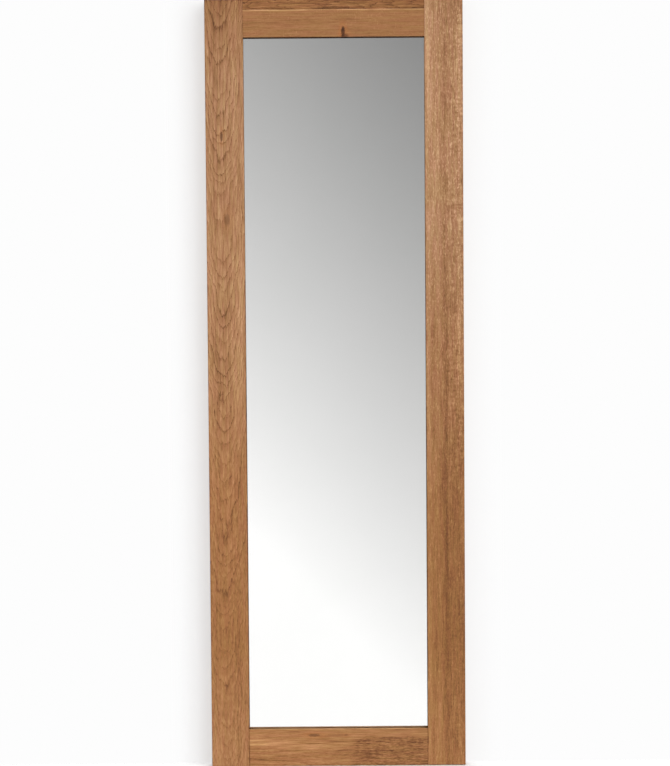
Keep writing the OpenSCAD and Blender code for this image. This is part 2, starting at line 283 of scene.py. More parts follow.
# Spring and summer wood start and end at these shares of a year
YEARS_DIFFER = 1.9
SPRING_STARTS = (0.0, 0.04)
SPRING_ENDS = (0.05, 0.22, 1.0, 0.0)
SUMMER_STARTS = (0.0, 0.06)
SUMMER_ENDS = (0.10, 1.0, 0.30, 0.0)
SPRING_DARKENS = 0.34

# A knot's colours fade, and the rings bend round it, out to so many times its size
KNOT_GLOW = paint(176, 108, 56)
KNOT_HEART = paint(46, 18, 1)
KNOT_BENDS_TO = 5.0
GLOW_FADES = (0.9, 3.0)
HEART_FADES = (0.5, 1.3)

# Lines along the edges change between these heights, and those at the joints stop at this depth
EDGES_CHANGE = (850.0, 1300.0)
LINE_CORE = 0.3
JOINTS_STOP = (5.0, 4.0)

# The lip's painted shade keeps to its edge and stops short of its back
RIM_PAINTED_SHADE = paint(52, 29, 13)
RIM_ONLY = (0.9, 0.4)
RIM_STOPS = (-2.0, -2.9)
RIM_SHADE_SOFT = 0.4

board_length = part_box("left_stile")[1].z * MILLIMETRES


def new_material(name):
    mat = bpy.data.materials.new(name)
    mat.use_nodes = True
    return mat, Wire(mat.node_tree), mat.node_tree.nodes["Principled BSDF"].inputs


def dress(node_name, mat):
    """Gives a CAD piece its finish."""
    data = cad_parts[node_name].data
    data.materials.clear()
    data.materials.append(mat)


def oak(name, upright, middle, pith, ring, cone, seed, tints, ends=(0.0, board_length), sight=None,
        rim_shade=(-7.0, 0.85, 0.3), lines=1.0, stagger=0.9, grain=1.0, tone=0.0, wander=14.0,
        knots=(), marks=(), joints=(), figure=None):
    """Oiled oak, worked out from the yearly rings of the tree that the board was sawn from.

    Lengths are in millimetres. middle is where across is 0. pith is the tree's heart, across the
    board and behind its face. ring is the width of a year's growth, and cone how much of it a
    millimetre of board takes off. lines is how dark the years' lines are, stagger how far the
    fibres break them up, and wander how far they stray. grain is how uneven the wood between them
    is, and tone how pale. knots are (across, along, width, length, bend, darkness), marks are
    (across, width, change, share of it high up), joints are (along, width, change) and tints are
    stops from one of the board's ends to the other. The lip's edge lies at sight. Its inner faces
    get painted shade, given as where its dark part starts, how dark it is and its share high up.
    figure changes how pale each place is, before the marks and joints are drawn."""
    mat, wire, shader = new_material(name)
    x, y, z = [c * MILLIMETRES for c in wire.node("ShaderNodeTexCoord", out="Object").split()]
    across, along = (x - middle, z) if upright else (z - middle, x)

    def noise(wide, long, number, detail=2.0):
        """Noise about wide across the grain and long with it, from -0.5 to 0.5. Each number gives
        another pattern."""
        shift = seed * 17.3 + number * 5.1
        place = wire.join(across / wide + shift, y / wide, along / long + seed * 3.7)
        return wire.node("ShaderNodeTexNoise", {"Vector": place, "Scale": 1.0, "Detail": detail}) - 0.5

    fibres = noise(1.2, 24.0, 7, 3.0)
    fine = noise(0.4, 9.0, 11)
    streaks = noise(3.4, 60.0, 8, 3.0)
    bands = noise(14.0, 330.0, 9)
    pores = noise(0.45, 4.5, 10, 1.0).ramp(0.08, 0.18)

    # How far a place lies from the heart says which year it grew in. Rings bend round a knot
    sideways = across - pith[0] + noise(900.0, 230.0, 1, 1.0) * wander
    sideways = sideways + noise(22.0, 55.0, 2) * (wander * SHORT_WAVES)
    inwards = y + (HALF_THICKNESS - pith[1]) + noise(900.0, 190.0, 3, 1.0) * wander
    radius = (sideways * sideways + inwards * inwards) ** 0.5
    radius = radius + noise(9.0, 45.0, 4) * 3.0 + noise(3.0, 18.0, 5) * 1.1
    reaches = []
    for knot_across, knot_along, width, length, bend, darkness in knots:
        up = (across - knot_across) / width
        beside = (along - knot_along) / length
        reach = (up * up + beside * beside) ** 0.5 + noise(3.0, 3.0, 6) * 0.9
        radius = radius + reach.ramp(0.0, KNOT_BENDS_TO, bend, 0.0)
        reaches.append((reach, darkness))
    years = (radius + along * cone) / ring
    uneven = wire.node("ShaderNodeTexNoise", {"W": years * 0.31 + seed, "Scale": 1.0, "Detail": 1.0},
                       noise_dimensions="1D")
    years = years + uneven * YEARS_DIFFER + fibres * stagger
    year = years.math("FLOOR", years)
    season = years - year
    vigour = wire.node("ShaderNodeTexWhiteNoise", {"W": year + seed * 11.0}, noise_dimensions="1D")

    # Spring wood is an open dark line that starts sharply and fades into the dense summer wood
    spring = season.ramp(*SPRING_STARTS) * season.ramp(*SPRING_ENDS) * (vigour * 0.65 + 0.35)
    spring = spring + season.ramp(*SUMMER_STARTS) * season.ramp(*SUMMER_ENDS)
    spring = spring * (fibres * 2.2 + 0.85) * lines
    mixed = (fibres * 0.60 + fine * 0.30 + streaks * 0.70 + bands * 0.45) * grain
    value = PLAIN_WOOD + tone + mixed - spring * SPRING_DARKENS - pores * (spring * 0.45 + 0.07)
    if figure:
        value = figure(value, across, along, noise)
    for centre, width, change, high_up in marks:
        broken = noise(3.0, 45.0, 13, 1.0).ramp(-0.12, 0.08, 0.3, 1.0)
        broken = broken * along.ramp(*EDGES_CHANGE, 1.0, high_up)
        off = (across - centre + noise(60.0, 30.0, 14, 1.0) * 2.0).size()
        value = value + off.ramp(width * LINE_CORE, width, change, 0.0) * broken
    for centre, width, change in joints:
        line = (along - centre).size().ramp(width * LINE_CORE, width, change, 0.0)
        value = value + line * y.ramp(*JOINTS_STOP)

    colour = wire.node("ShaderNodeValToRGB", [value], stops=OAK_TONES)
    cast = wire.blend(noise(7.0, 75.0, 12, 1.0).ramp(-0.18, 0.18), OLIVE_CAST, RED_CAST)
    colour = wire.blend(1.0, colour, cast, "MULTIPLY")
    for reach, darkness in reaches:
        colour = wire.blend(reach.ramp(*GLOW_FADES, 0.36 * darkness, 0.0), colour, KNOT_GLOW)
        colour = wire.blend(reach.ramp(*HEART_FADES, 0.95 * darkness, 0.0), colour, KNOT_HEART)
    tint = wire.node("ShaderNodeValToRGB", [(along - ends[0]) / (ends[1] - ends[0])], stops=tints)
    colour = wire.blend(1.0, colour, tint, "MULTIPLY")
    facing = wire.node("ShaderNodeTexCoord", out="Normal").split()
    end_grain = facing[2 if upright else 0].size().ramp(0.3, 0.9, 0.0, 0.5)
    colour = wire.blend(end_grain, colour, OAK_BROWN)
    roughness = 0.52 + pores * 0.16 - fibres * 0.10
    # Painted shade: the lip's inner faces are darkened to stand for the shaded gap along the glass,
    # and made rougher so they show less sheen
    if sight is not None:
        shade_from, darkest, high_up = rim_shade
        shaded_rim = (across - sight).size().ramp(*RIM_ONLY)
        shaded_rim = shaded_rim * y.ramp(shade_from - RIM_SHADE_SOFT, shade_from + RIM_SHADE_SOFT)
        covers = y.ramp(*RIM_STOPS) * along.ramp(*EDGES_CHANGE, darkest, darkest * high_up)
        colour = wire.blend(shaded_rim * covers, colour, RIM_PAINTED_SHADE)
        roughness = roughness + shaded_rim * 0.4
    wire.feed(shader["Base Color"], colour)
    wire.feed(shader["Roughness"], roughness)
    shader["Specular IOR Level"].default_value = 0.28
    relief = fibres * 0.4 + fine * 0.3 + streaks * 0.2 - spring * 0.35 - pores * 0.8
    wire.feed(shader["Normal"], wire.node(
        "ShaderNodeBump", {"Height": relief, "Strength": 0.4, "Distance": 0.00035}))
    return mat


stile_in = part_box("right_stile")[0].x * MILLIMETRES
stile_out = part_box("right_stile")[1].x * MILLIMETRES
stile_middle = (stile_in + stile_out) / 2
left_sight = stile_middle - stile_in
stile_ends = [(0.0, 3.0, -0.12), (board_length, 3.5, -0.28)]

CALM_TONE = 0.55
CALM_BELOW = 450.0
LIVELY_ABOVE = 1150.0


def stile_edge_shade(sight):
    """Painted shade on a stile's two long edges: a sharp dark line beside the glass, a soft one on the
    outer arris.
    """
    return [(sight, 1.8, -0.35, 0.1), (-sight, 2.6, -0.14, 1.0)]


def calm_foot(value, across, along, noise):
    """Towards the foot the arches grow faint among short broken fibres. The inner edge is paler."""
    calm = CALM_TONE + (value - CALM_TONE) * along.ramp(CALM_BELOW, LIVELY_ABOVE, 0.64, 1.0)
    inner_edge = across.ramp(6.0, 24.0) * along.ramp(650.0, 1050.0, -0.02, 0.08)
    outer_edge = across.ramp(-16.0, -34.0) * along.ramp(550.0, 850.0, 0.0, 0.04)
    dark_top = across.size().ramp(12.0, 34.0, 0.2, 1.0) * along.ramp(1745.0, 1795.0, 0.0, -0.11)
    short_fibres = noise(1.6, 9.0, 15) * 0.50 + noise(5.0, 14.0, 16) * 0.34
    short_fibres = short_fibres * along.ramp(LIVELY_ABOVE, CALM_BELOW, 0.3, 1.0)
    return calm + inner_edge + outer_edge + dark_top + short_fibres


dress("left_stile", oak(
    "oak of the left stile", upright=True, middle=-stile_middle, pith=(-8.0, 60.0), ring=3.4,
    cone=-0.085, seed=1, sight=left_sight, lines=1.1, stagger=0.5, grain=1.2, tone=0.04,
    wander=22.0,
    tints=[(0.0, paint(252, 245, 229)), (0.16, paint(233, 219, 185)), (0.36, paint(246, 233, 209)),
           (0.52, paint(255, 253, 246)), (0.90, paint(255, 255, 255)), (1.0, paint(236, 226, 208))],
    knots=[(-7.6, 1483.0, 3.6, 12.0, 0.8, 0.62), (4.0, 1290.0, 7.0, 15.0, 1.2, 0.34),
           (-12.8, 898.0, 2.6, 7.0, 2.2, 0.12), (-12.0, 272.0, 2.4, 4.0, 1.5, 0.25)],
    marks=stile_edge_shade(left_sight), joints=stile_ends, figure=calm_foot))


# The right stile
# The same size, from a board sawn towards the tree's heart: the grain runs straight and fine, with
# pale flecks where the rays come out, and ripples across it near the outer edge.

def rays(value, across, along, noise):
    """Rays break out as flecks, and as ripples near the outer edge. A dark line follows the heart."""
    crackle = noise(2.6, 4.6, 25) * 0.42
    flecks = noise(2.1, 9.0, 21, 1.0).ramp(0.07, 0.19) * 0.26
    patches = noise(6.0, 13.0, 22, 1.0).ramp(0.05, 0.22) * across.ramp(-20.0, 25.0, 0.05, 0.20)
    sparks = noise(4.5, 8.0, 24, 1.0).ramp(0.10, 0.18)
    sparks = sparks * (across - 33.0).size().ramp(3.0, 6.0, 0.34, 0.0)
    rippled = noise(24.0, 80.0, 26, 1.0).ramp(-0.08, 0.12, 0.15, 1.0) * across.ramp(-12.0, 20.0)
    ripples = noise(18.0, 6.0, 23, 1.0) * rippled * 0.62
    depth = value.node("ShaderNodeTexCoord", out="Object").split()[1]
    in_front = depth.ramp(-0.004, 0.004, 1.0, 0.5)
    broken = (flecks + patches + sparks + ripples) * in_front * along.ramp(350.0, 1150.0, 0.5, 1.0)
    inner_line = (across + 38.0).size().ramp(2.0, 7.0, 0.11, 0.0)
    outer_line = (across - 35.0).size().ramp(2.0, 12.0, 0.09, 0.0) * along.ramp(650.0, 1000.0)
    heart_line = (across - 2.5).size().ramp(1.0, 7.0, -0.12, 0.0)
    heart_line = heart_line * along.ramp(1250.0, 850.0, 0.1, 1.0)
    inner_half = across.ramp(0.0, -20.0, 0.0, 0.09) - along.ramp(1500.0, 1200.0, 0.0, 0.03)
    dark_top = across.ramp(14.0, 30.0, 0.3, 1.0) * along.ramp(1705.0, 1790.0, 0.0, -0.15)
    return value + crackle + broken + inner_line + outer_line + heart_line + inner_half + dark_top


dress("right_stile", oak(
    "oak of the right stile", upright=True, middle=stile_middle, pith=(150.0, 40.0), ring=2.6,
    cone=0.012, seed=2, sight=-left_sight, lines=0.5, grain=0.95,
    tints=[(0.0, paint(236, 222, 192)), (0.16, paint(217, 200, 161)), (0.35, paint(222, 206, 174)),
           (0.55, paint(240, 232, 219)), (0.70, paint(250, 250, 249)), (0.86, paint(255, 255, 255))],
    marks=stile_edge_shade(-left_sight), joints=stile_ends, figure=rays))


# The top rail and its cap strip
# The rail is glued up from two oak strips of different figure. The wide one is plain, with a small
# pin knot at its lower edge. The narrow one above the glue line is darker and has long arches.

sight_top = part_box("top_rail")[0].z * MILLIMETRES
glue_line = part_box("top_rail_cap_strip")[0].z * MILLIMETRES
cap_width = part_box("top_rail_cap_strip")[1].z * MILLIMETRES - glue_line
rail_ends = (-stile_in, stile_in)
rail_joints = [(end, 1.5, -0.30) for end in rail_ends]


def mottled(value, across, along, noise):
    """Quiet wood with short rays across the grain."""
    short_rays = noise(8.0, 2.6, 41, 1.0).ramp(0.08, 0.24) * 0.16
    in_places = noise(20.0, 40.0, 43, 1.0).ramp(-0.05, 0.15)
    return value + noise(3.0, 8.0, 42) * 0.20 + short_rays * in_places


dress("top_rail", oak(
    "oak of the top rail", upright=False, middle=sight_top, pith=(200.0, 90.0), ring=3.0,
    cone=0.01, seed=3, ends=rail_ends, sight=0.0, rim_shade=(-12.6, 0.9, 1.0), lines=0.3, grain=0.55,
    tone=-0.04, tints=[(0.0, paint(250, 241, 219)), (1.0, paint(249, 240, 217))],
    knots=[(11.5, 22.0, 12.0, 4.8, 4.0, 1.0), (2.0, 26.0, 6.5, 8.0, 1.0, 0.6)],
    marks=[(glue_line - sight_top - 1.2, 3.2, 0.40, 1.0)], joints=rail_joints, figure=mottled))
dress("top_rail_cap_strip", oak(
    "oak of the cap strip", upright=False, middle=glue_line, pith=(12.0, 16.0), ring=2.8,
    cone=-0.045, seed=4, ends=rail_ends, lines=1.4, grain=1.2, tone=-0.06, wander=24.0,
    tints=[(0.0, paint(241, 228, 197)), (0.5, paint(250, 238, 208)), (1.0, paint(222, 204, 166))],
    marks=[(0.0, 2.6, -0.30, 1.0), (cap_width, 2.5, -0.35, 1.0)], joints=rail_joints))


# The bottom rail
# One oak board. A pale band with a small knot runs along its upper edge, and below a wavy line the
# wood is darker, and curly towards the right.

sight_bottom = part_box("bottom_rail")[1].z * MILLIMETRES


def curly_below(value, across, along, noise):
    """The wavy line climbs to the right. Pale waves follow it on the left half."""
    climb = along.ramp(-200.0, -70.0, -40.0, -50.0) + along.ramp(5.0, 70.0, 0.0, 30.0)
    edge = climb + noise(30.0, 50.0, 31) * 16.0
    below = (edge - across).ramp(-2.5, 3.5)
    curls = noise(2.6, 8.0, 32, 3.0) * along.ramp(10.0, 75.0, 0.4, 0.84)
    darker = along.ramp(15.0, 70.0, -0.06, -0.10)
    over_edge = (across - edge - 12.0).size().ramp(5.0, 15.0, 0.9, 0.0)
    pale_waves = (noise(5.0, 60.0, 33) + 0.12) * over_edge
    paler = (pale_waves + 0.09) * along.ramp(70.0, 0.0)
    return value + below * (darker + curls) + paler


dress("bottom_rail", oak(
    "oak of the bottom rail", upright=False, middle=sight_bottom, pith=(-90.0, 40.0), ring=4.0,
    cone=0.05, seed=5, ends=rail_ends, sight=0.0, rim_shade=(-5.0, 0.05, 1.0), lines=0.45, tone=-0.05,
    tints=[(0.0, paint(251, 240, 214)), (1.0, paint(249, 241, 218))],
    knots=[(-14.5, -57.5, 3.6, 16.0, 3.0, 0.6), (-15.0, -6.0, 2.6, 30.0, 1.0, 0.16),
           (-15.0, 18.0, 2.6, 5.0, 0.5, 0.30)],
    # The pale line on the sight edge is a painted highlight, where the lip's edge faces the light
    # above
    marks=[(0.0, 1.0, 0.50, 1.0)], joints=rail_joints, figure=curly_below))


# The glazing tapes
# Four strips of black closed-cell foam tape, 1 mm thick, stuck behind the oak lip. The glass presses
# on them, so it can't rattle.

def foam(name, colour, cell, roughness):
    """Closed-cell foam: small round cells under a skin. cell is their size in metres."""
    mat, wire, shader = new_material(name)
    place = wire.node("ShaderNodeTexCoord", out="Object")
    cells = wire.node("ShaderNodeTexVoronoi", {"Vector": place, "Scale": 1.0 / cell}, out="Distance")
    clouds = wire.node("ShaderNodeTexNoise", {"Vector": place, "Scale": 60.0, "Detail": 2.0})
    paler = [min(1.0, c * 1.25 + 0.012) for c in colour[:3]] + [1.0]
    wire.feed(shader["Base Color"], wire.blend(cells * 0.7 + clouds * 0.5, paler, colour))
    wire.feed(shader["Roughness"], roughness - cells * 0.12)
    wire.feed(shader["Normal"], wire.node(
        "ShaderNodeBump", {"Height": cells, "Strength": 0.5, "Distance": cell / 4}))
    return mat


tape_foam = foam("black foam tape", paint(38, 37, 36), cell=0.0006, roughness=0.92)
for side in ("left", "right", "top", "bottom"):
    dress(side + "_glazing_tape", tape_foam)


# The glass
# One pane of clear 4 mm float glass with seamed edges. It lets a little green show at its edges, and
# its front bears the faint haze that wiping leaves.

CLEAR = (0.984, 0.987, 0.983, 1)
CLEAREST = (0.99, 0.992, 0.989, 1)
glass, wire, shader = new_material("clear float glass")
place = wire.node("ShaderNodeTexCoord", out="Object")
haze = wire.node(
    "ShaderNodeTexNoise", {"Vector": place, "Scale": 3.5, "Detail": 3.0, "Distortion": 0.6})
wire.feed(shader["Base Color"], wire.blend(haze.ramp(0.3, 0.7), CLEAR, CLEAREST))
shader["Roughness"].default_value = 0.0
shader["IOR"].default_value = 1.52
shader["Transmission Weight"].default_value = 1.0
dress("glass_pane", glass)


# The setting and side blocks
# Hard black rubber blocks cut from strip. Two carry the pane's weight, and four keep it in the
# middle of its rebate.

def rubber(name, colour, grain, roughness):
    """Moulded or cut rubber: fine grain, with dust that has settled in it. grain is in metres."""
    mat, wire, shader = new_material(name)
    place = wire.node("ShaderNodeTexCoord", out="Object")
    specks = wire.node("ShaderNodeTexNoise", {"Vector": place, "Scale": 1.0 / grain, "Detail": 3.0})
    dust = wire.node("ShaderNodeTexNoise", {"Vector": place, "Scale": 140.0, "Detail": 4.0})
    dusty = [c * 0.8 + 0.035 for c in colour[:3]] + [1.0]
    wire.feed(shader["Base Color"], wire.blend(dust.ramp(0.45, 0.8), colour, dusty))
    wire.feed(shader["Roughness"], roughness + specks * 0.2 - 0.1)
    wire.feed(shader["Normal"], wire.node(
        "ShaderNodeBump", {"Height": specks, "Strength": 0.45, "Distance": grain / 3}))
    return mat


block_rubber = rubber("black block rubber", paint(34, 34, 36), grain=0.0005, roughness=0.72)
dress("setting_blocks", block_rubber)
dress("side_blocks", block_rubber)


# The silvering
# The silver coat on the back of the glass, under two coats of grey paint. The coat stops 1 mm short
# of the edge of the pane, and its front lies a hair behind the glass.

HAIR = 0.00002
SILVER_CORNER = 0.002
CORNER_STEPS = 6
SILVER = (0.948, 0.943, 0.940, 1)
SILVER_PALER = (0.958, 0.953, 0.950, 1)


def sheet_mesh(name, low, high, corner):
    """A flat sheet in the plane of the glass, with rounded corners."""
    shape = bmesh.new()
    outline = []
    corners = ((high.x, high.z), (low.x, high.z), (low.x, low.z), (high.x, low.z))
    for turn, (x, z) in enumerate(corners):
        centre_x = x - math.copysign(corner, x - (low.x + high.x) / 2)
        centre_z = z - math.copysign(corner, z - (low.z + high.z) / 2)
        for step in range(CORNER_STEPS + 1):
            angle = math.radians(90) * (turn + step / CORNER_STEPS)
            outline.append((centre_x + corner * math.cos(angle), centre_z + corner * math.sin(angle)))
    front = [shape.verts.new((x, low.y, z)) for x, z in outline]
    back = [shape.verts.new((x, high.y, z)) for x, z in outline]
    shape.faces.new(front)
    shape.faces.new(back[::-1])
    for near in range(len(outline)):
        far = (near + 1) % len(outline)
        shape.faces.new((front[near], back[near], back[far], front[far]))
    bmesh.ops.recalc_face_normals(shape, faces=shape.faces)
    mesh = bpy.data.meshes.new(name)
    shape.to_mesh(mesh)
    shape.free()
    return mesh


silver, wire, shader = new_material("silver coat and its paint")
place = wire.node("ShaderNodeTexCoord", out="Object")
front = (0.0 - wire.node("ShaderNodeTexCoord", out="Normal").split()[1]).ramp(0.4, 0.6)
clouds = wire.node("ShaderNodeTexNoise", {"Vector": place, "Scale": 2.0, "Detail": 2.0})
specks = wire.node("ShaderNodeTexNoise", {"Vector": place, "Scale": 900.0, "Detail": 2.0})
bright = wire.blend(clouds, SILVER, SILVER_PALER)
grey_paint = wire.blend(specks, paint(96, 100, 104), paint(122, 126, 129))
wire.feed(shader["Base Color"], wire.blend(front, grey_paint, bright))
wire.feed(shader["Metallic"], front)
wire.feed(shader["Roughness"], (0.5 + specks * 0.2) * (1.0 - front))
low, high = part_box("silvering")
mesh = sheet_mesh("silver_coat", low + Vector((0, HAIR, 0)), high, SILVER_CORNER)
mesh.materials.append(silver)
silver_coat = new_object("silver_coat", mesh)
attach(silver_coat, "mirror")
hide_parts("silvering")


# The safety film
# Blue plastic film with a fine woven backing, stuck over the paint. It holds the pieces together if
# the glass breaks.

THREADS = 6283.0
film, wire, shader = new_material("blue safety film")
x, y, z = wire.node("ShaderNodeTexCoord", out="Object").split()
weave = wire.math("SINE", x * THREADS) * wire.math("SINE", z * THREADS)
drawn = wire.join(x, y, z * 0.1)
stretch = wire.node("ShaderNodeTexNoise", {"Vector": drawn, "Scale": 30.0, "Detail": 3.0})
blue = wire.blend(weave * 0.2 + stretch, paint(88, 106, 128), paint(116, 134, 154))
wire.feed(shader["Base Color"], blue)
wire.feed(shader["Roughness"], 0.36 + stretch * 0.15)
wire.feed(shader["Normal"], wire.node(
    "ShaderNodeBump", {"Height": weave, "Strength": 0.3, "Distance": 0.0001}))
dress("safety_film", film)


# The foam sheet
# White packing foam, 2.7 mm thick. The back board squeezes it against the pane.

dress("foam_sheet", foam("white packing foam", paint(226, 226, 222), cell=0.0015, roughness=0.85))


# The back board
# Brown fibreboard, 4 mm thick: wood fibres pressed hard and smooth, with darker edges where the saw
# went through.

BOARD_BROWNS = [(0.0, paint(88, 62, 40)), (0.35, paint(124, 92, 62)), (0.65, paint(146, 112, 78)),
                (1.0, paint(176, 142, 104))]
SAWN_BROWN = paint(84, 60, 40)
board, wire, shader = new_material("brown fibreboard")
place = wire.node("ShaderNodeTexCoord", out="Object")
x, y, z = place.split()
matted = wire.node(
    "ShaderNodeTexNoise", {"Vector": place, "Scale": 640.0, "Detail": 4.0, "Distortion": 0.8})
laid = wire.join(x, y, z * 0.2)
threads = wire.node("ShaderNodeTexNoise", {"Vector": laid, "Scale": 900.0, "Detail": 2.0})
shade = wire.node("ShaderNodeTexNoise", {"Vector": place, "Scale": 5.0, "Detail": 3.0})
chips = wire.node("ShaderNodeTexVoronoi", {"Vector": place, "Scale": 260.0}, out="Distance")
pressed = 0.5 + (matted - 0.5) * 0.8 + (threads - 0.5) * 0.45 + (shade - 0.5) * 0.3
pressed = pressed - chips.ramp(0.0, 0.12, 0.2, 0.0)
brown = wire.node("ShaderNodeValToRGB", [pressed], stops=BOARD_BROWNS)
sawn = wire.node("ShaderNodeTexCoord", out="Normal").split()[1].size().ramp(0.9, 0.5, 0.0, 0.5)
wire.feed(shader["Base Color"], wire.blend(sawn, brown, SAWN_BROWN))
wire.feed(shader["Roughness"], 0.62 + matted * 0.2)
shader["Specular IOR Level"].default_value = 0.3
wire.feed(shader["Normal"], wire.node(
    "ShaderNodeBump", {"Height": pressed, "Strength": 0.18, "Distance": 0.0002}))
dress("back_board", board)


# The back board's screws
# Twenty zinc-plated pan head screws, 3 x 16 mm, along the middle of the ledge between the two
# rebates. Their threads are rolled, and each has stopped at its own turn.

ROUND = 24
THREAD_ROWS = ((0.0, 0.0), (0.36, 0.0), (0.5, 1.0), (0.64, 0.0))
ROOT_SHARE = 0.70
POINT_SHARE = 2.2
ARM_SHARE = 0.24
RECESS_DEPTH = 0.85
RECESS_TAPER = 0.62
CLEAR_OF_HEAD = 0.0005
SAME_PLACE = 1e-7


def wood_screw(name, head, shank_r, length, pitch, recess_r):
    """One screw pointing down Z. head lists (radius, height) from the top's middle to the neck, which
    is where length starts. THREAD_ROWS lists where each row of a turn lies, and how high it stands."""
    shape = bmesh.new()
    neck = head[-1][1]
    root_r = shank_r * ROOT_SHARE
    point = shank_r * POINT_SHARE
    turns = int(length / pitch) + 1

    def round_row(radius, height):
        angles = [math.tau * i / ROUND for i in range(ROUND)]
        return [shape.verts.new((radius * math.cos(a), radius * math.sin(a), height)) for a in angles]

    def threaded(turn, part, i):
        along = (turn + THREAD_ROWS[part][0] + i / ROUND) * pitch
        along = min(max(along, 0.0), length)
        crest = THREAD_ROWS[part][1] * min(1.0, along / pitch)
        radius = (root_r + (shank_r - root_r) * crest) * min(1.0, (length - along) / point)
        angle = math.tau * i / ROUND
        return shape.verts.new((radius * math.cos(angle), radius * math.sin(angle), neck - along))

    rows = [[threaded(turn, part, i) for i in range(ROUND + 1)]
            for turn in range(-1, turns + 1) for part in range(len(THREAD_ROWS))]
    for upper, lower in zip(rows, rows[1:]):
        for i in range(ROUND):
            shape.faces.new((upper[i], lower[i], lower[i + 1], upper[i + 1]))
    rings = [round_row(radius, height) for radius, height in head[1:]] + [round_row(root_r, neck)]
    for upper, lower in zip(rings, rings[1:]):
        for i in range(ROUND):
            j = (i + 1) % ROUND
            shape.faces.new((upper[i], lower[i], lower[j], upper[j]))
    middle = shape.verts.new((0, 0, head[0][1]))
    for i in range(ROUND):
        shape.faces.new((middle, rings[0][i], rings[0][(i + 1) % ROUND]))
    bmesh.ops.remove_doubles(shape, verts=shape.verts, dist=SAME_PLACE)
    bmesh.ops.dissolve_degenerate(shape, edges=shape.edges, dist=SAME_PLACE)
    bmesh.ops.recalc_face_normals(shape, faces=shape.faces)
    mesh = bpy.data.meshes.new(name)
    shape.to_mesh(mesh)
    shape.free()
    screw = new_object(name, mesh)

    # The cross recess tapers inwards, as the driver's tip does
    arm = recess_r * ARM_SHARE
    top, bottom = head[0][1] + CLEAR_OF_HEAD, head[0][1] - recess_r * RECESS_DEPTH
    cross = [(recess_r, -arm), (recess_r, arm), (arm, arm), (arm, recess_r),
             (-arm, recess_r), (-arm, arm), (-recess_r, arm), (-recess_r, -arm),
             (-arm, -arm), (-arm, -recess_r), (arm, -recess_r), (arm, -arm)]
    tool = bmesh.new()
    wide = [tool.verts.new((x, y, top)) for x, y in cross]
    narrow = [tool.verts.new((x * RECESS_TAPER, y * RECESS_TAPER, bottom)) for x, y in cross]
    tool.faces.new(wide)
    tool.faces.new(narrow[::-1])
    for i in range(len(cross)):
        j = (i + 1) % len(cross)
        tool.faces.new((narrow[i], narrow[j], wide[j], wide[i]))
    bmesh.ops.recalc_face_normals(tool, faces=tool.faces)
    tool_mesh = bpy.data.meshes.new("driver tip")
    tool.to_mesh(tool_mesh)
    tool.free()
    driver = new_object("driver_tip", tool_mesh)
    cut = screw.modifiers.new("recess", "BOOLEAN")
    cut.operation = "DIFFERENCE"
    cut.solver = "EXACT"
    cut.object = driver
    pierced = screw.evaluated_get(bpy.context.evaluated_depsgraph_get())
    made = bpy.data.meshes.new_from_object(pierced)
    screw.modifiers.clear()
    screw.data = made
    bpy.data.objects.remove(driver)
    return screw


def screw_rows_tree():
    """Nodes that lay one screw out in rows, each at its own turn, with their heads towards +Y."""
    tree = bpy.data.node_groups.new("rows of screws", "GeometryNodeTree")
    sizes = (("Screw", "Object"), ("Finish", "Material"), ("First", "Vector"), ("Step", "Vector"),
             ("Screws in a Row", "Int"), ("Next Row", "Vector"), ("Rows", "Int"), ("Seed", "Int"))
    for name, kind in sizes:
        tree.interface.new_socket(name=name, in_out="INPUT", socket_type="NodeSocket" + kind)
    tree.interface.new_socket(name="Geometry", in_out="OUTPUT", socket_type="NodeSocketGeometry")
    wire = Wire(tree)
    given = tree.nodes.new("NodeGroupInput")
    told = {socket.name: Wire(tree, socket) for socket in given.outputs if socket.name}
    row = wire.node("GeometryNodeMeshLine", {"Count": told["Screws in a Row"], "Offset": told["Step"],
                                             "Start Location": told["First"]}, mode="OFFSET")
    starts = wire.node("GeometryNodeMeshLine", {"Count": told["Rows"], "Offset": told["Next Row"]},
                       mode="OFFSET")
    grid = wire.node("GeometryNodeInstanceOnPoints", {"Points": starts, "Instance": row})
    places = wire.node("GeometryNodeRealizeInstances", [grid])
    screw = wire.node("GeometryNodeObjectInfo", {"Object": told["Screw"]}, out="Geometry")
    head_out = (math.radians(-90), 0.0, 0.0)
    screws = wire.node("GeometryNodeInstanceOnPoints",
                       {"Points": places, "Instance": screw, "Rotation": head_out})
    turn = wire.node("FunctionNodeRandomValue", {2: 0.0, 3: math.tau, "Seed": told["Seed"]}, out=1,
                     data_type="FLOAT")
    stopped_at = wire.node("FunctionNodeEulerToRotation", [wire.join(0.0, 0.0, turn)])
    turned = wire.node("GeometryNodeRotateInstances", {"Instances": screws, "Rotation": stopped_at})
    solid = wire.node("GeometryNodeRealizeInstances", [turned])
    finished = wire.node("GeometryNodeSetMaterial", {"Geometry": solid, "Material": told["Finish"]})
    wire.feed(tree.nodes.new("NodeGroupOutput").inputs["Geometry"], finished)
    return tree


SHARP_EDGE = math.radians(38)


